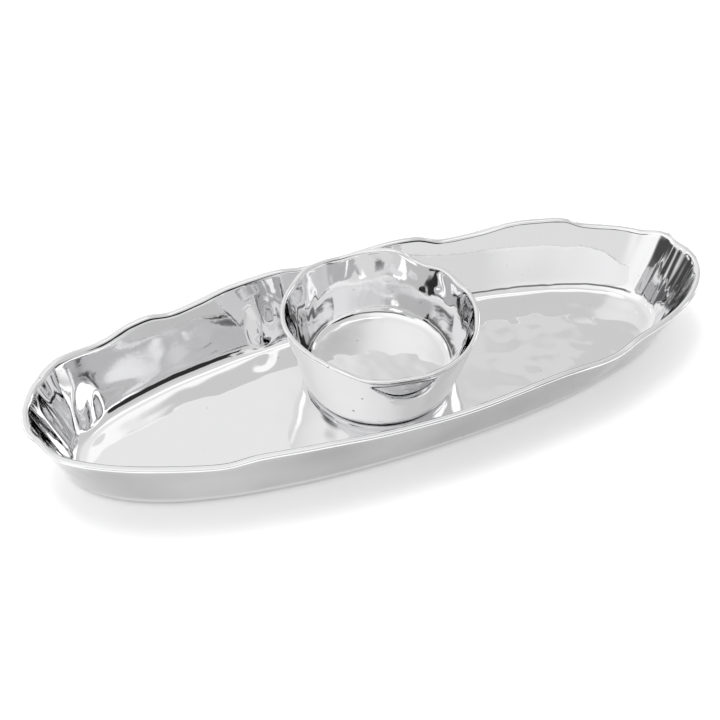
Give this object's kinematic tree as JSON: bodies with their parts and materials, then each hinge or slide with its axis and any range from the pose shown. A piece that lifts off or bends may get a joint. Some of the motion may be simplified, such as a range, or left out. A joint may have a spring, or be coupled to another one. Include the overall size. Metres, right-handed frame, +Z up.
{
  "type": "chip and dip server",
  "caption": "Long oval cast-metal serving tray with a hand-formed wavy rim and a separate round dip bowl on a foot ring that stands in its middle and lifts out.",
  "frame": {"origin": "middle of the tray's flat underside, on the table", "axes": "+X along the tray's length, +Y across it towards the side the bowl stands nearer, +Z up"},
  "size_m": [0.4993, 0.1838, 0.0677],
  "materials": {
    "tray_metal": "bright hand-polished casting with soft ripples and fine scratches",
    "bowl_metal": "bright hand-polished casting with soft ripples and fine scratches"
  },
  "bodies": {
    "tray": {"oval_tray": "tray_metal"},
    "bowl": {"dip_bowl": "bowl_metal"}
  },
  "joints": [
    {"name": "bowl_lift", "type": "slide", "parent": "tray", "child": "bowl", "axis": [0, 0, 1], "range_m": [0, 0.08]}
  ]
}
